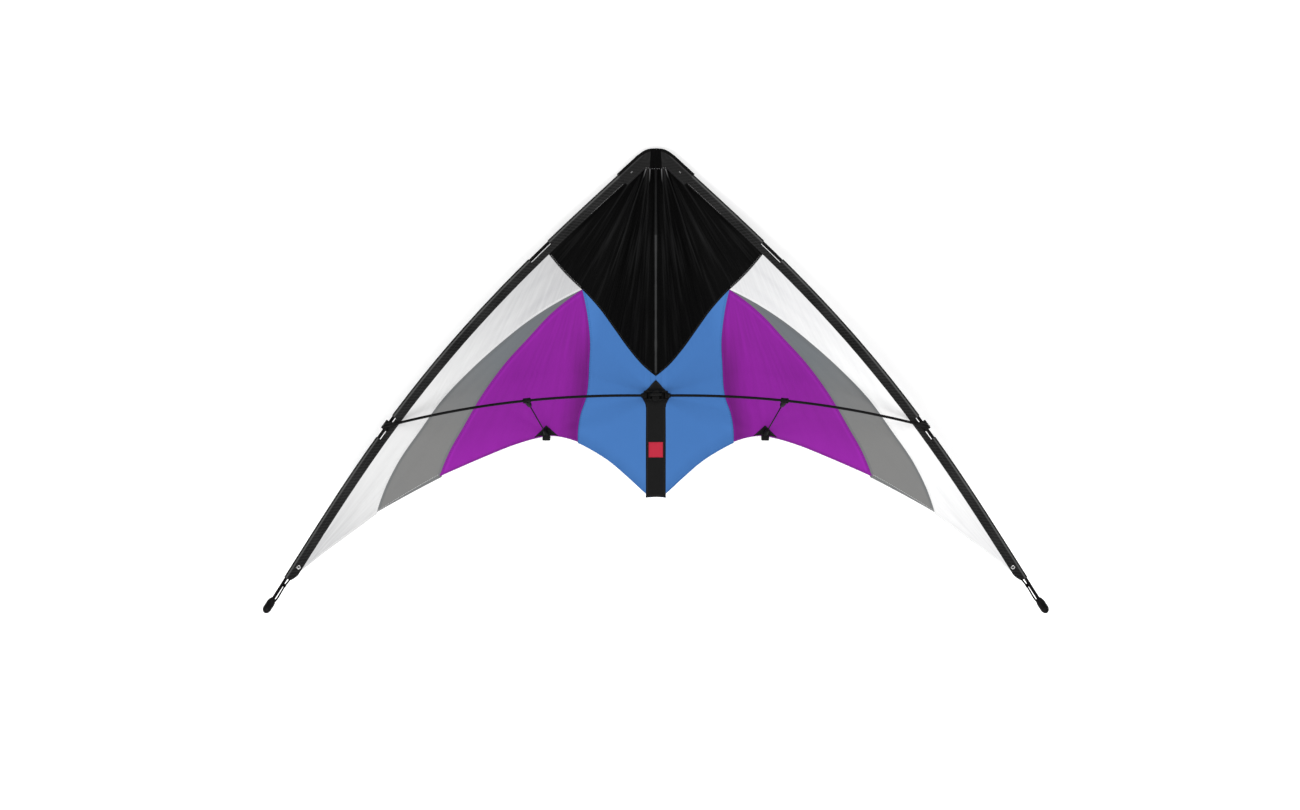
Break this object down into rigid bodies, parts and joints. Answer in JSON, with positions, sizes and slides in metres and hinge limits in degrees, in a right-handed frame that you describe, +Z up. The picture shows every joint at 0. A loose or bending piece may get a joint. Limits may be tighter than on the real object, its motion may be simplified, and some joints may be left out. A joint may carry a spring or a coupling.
{
  "type": "pop-up stunt kite",
  "caption": "Swept-wing stunt kite in black, white, grey, purple and blue cloth on bent rods, with folding wings, spreaders, standoffs and end caps.",
  "frame": {"origin": "middle of the bounding box, on the floor under the kite as it lies on its back", "axes": "+X to the right seen from the front, +Y towards the nose, +Z up; the kite's front faces up, tilted 8.2 degrees nose down"},
  "size_m": [1.1984, 0.7018, 0.1131],
  "materials": {
    "black_cloth": "smooth ripstop sailcloth, slight sheen",
    "white_cloth": "smooth ripstop sailcloth, slight sheen",
    "grey_cloth": "smooth ripstop sailcloth, slight sheen",
    "purple_cloth": "smooth ripstop sailcloth, slight sheen",
    "blue_cloth": "smooth ripstop sailcloth, slight sheen",
    "webbing": "matt woven tape",
    "rod": "smooth glass fibre rod",
    "fitting": "satin moulded vinyl",
    "label": "plain woven label",
    "eyelet": "polished, slightly dull",
    "cord": "braided line"
  },
  "bodies": {
    "root": {"nose_centre": "webbing", "spine_rod": "rod", "upper_centre_panel": "black_cloth", "blue_centre_panel": "blue_cloth", "centre_patch": "webbing", "centre_strip": "webbing", "centre_label": "label", "hub": "fitting"},
    "left_wing": {"left_leading_edge_rod": "rod", "left_leading_edge_sleeve_upper": "webbing", "left_leading_edge_sleeve_middle": "webbing", "left_leading_edge_sleeve_tip": "webbing", "left_nose_webbing": "webbing", "left_leading_edge_connector": "fitting", "left_spreader_socket": "fitting", "left_spreader_rod": "rod", "left_standoff_clip": "fitting", "left_standoff_rod": "rod", "left_trailing_edge_foot": "fitting", "left_trailing_edge_patch": "webbing", "left_wing_end_cap": "fitting", "left_tip_cord": "cord", "left_eyelet": "eyelet", "left_black_panel": "black_cloth", "left_white_panel": "white_cloth", "left_grey_panel": "grey_cloth", "left_purple_panel": "purple_cloth", "left_blue_panel": "blue_cloth"},
    "right_wing": {"right_leading_edge_rod": "rod", "right_leading_edge_sleeve_upper": "webbing", "right_leading_edge_sleeve_middle": "webbing", "right_leading_edge_sleeve_tip": "webbing", "right_nose_webbing": "webbing", "right_leading_edge_connector": "fitting", "right_spreader_socket": "fitting", "right_spreader_rod": "rod", "right_standoff_clip": "fitting", "right_standoff_rod": "rod", "right_trailing_edge_foot": "fitting", "right_trailing_edge_patch": "webbing", "right_wing_end_cap": "fitting", "right_tip_cord": "cord", "right_eyelet": "eyelet", "right_black_panel": "black_cloth", "right_white_panel": "white_cloth", "right_grey_panel": "grey_cloth", "right_purple_panel": "purple_cloth", "right_blue_panel": "blue_cloth"}
  },
  "joints": [
    {"name": "left_wing_fold", "type": "hinge", "parent": "root", "child": "left_wing", "pos_m": [-0.0156, -0.02153, 0.06579], "axis": [0, 0.9899, -0.1418], "range_deg": [0, 80]},
    {"name": "right_wing_fold", "type": "hinge", "parent": "root", "child": "right_wing", "pos_m": [0.0156, -0.02153, 0.06579], "axis": [0, -0.9899, 0.1418], "range_deg": [0, 80]}
  ]
}
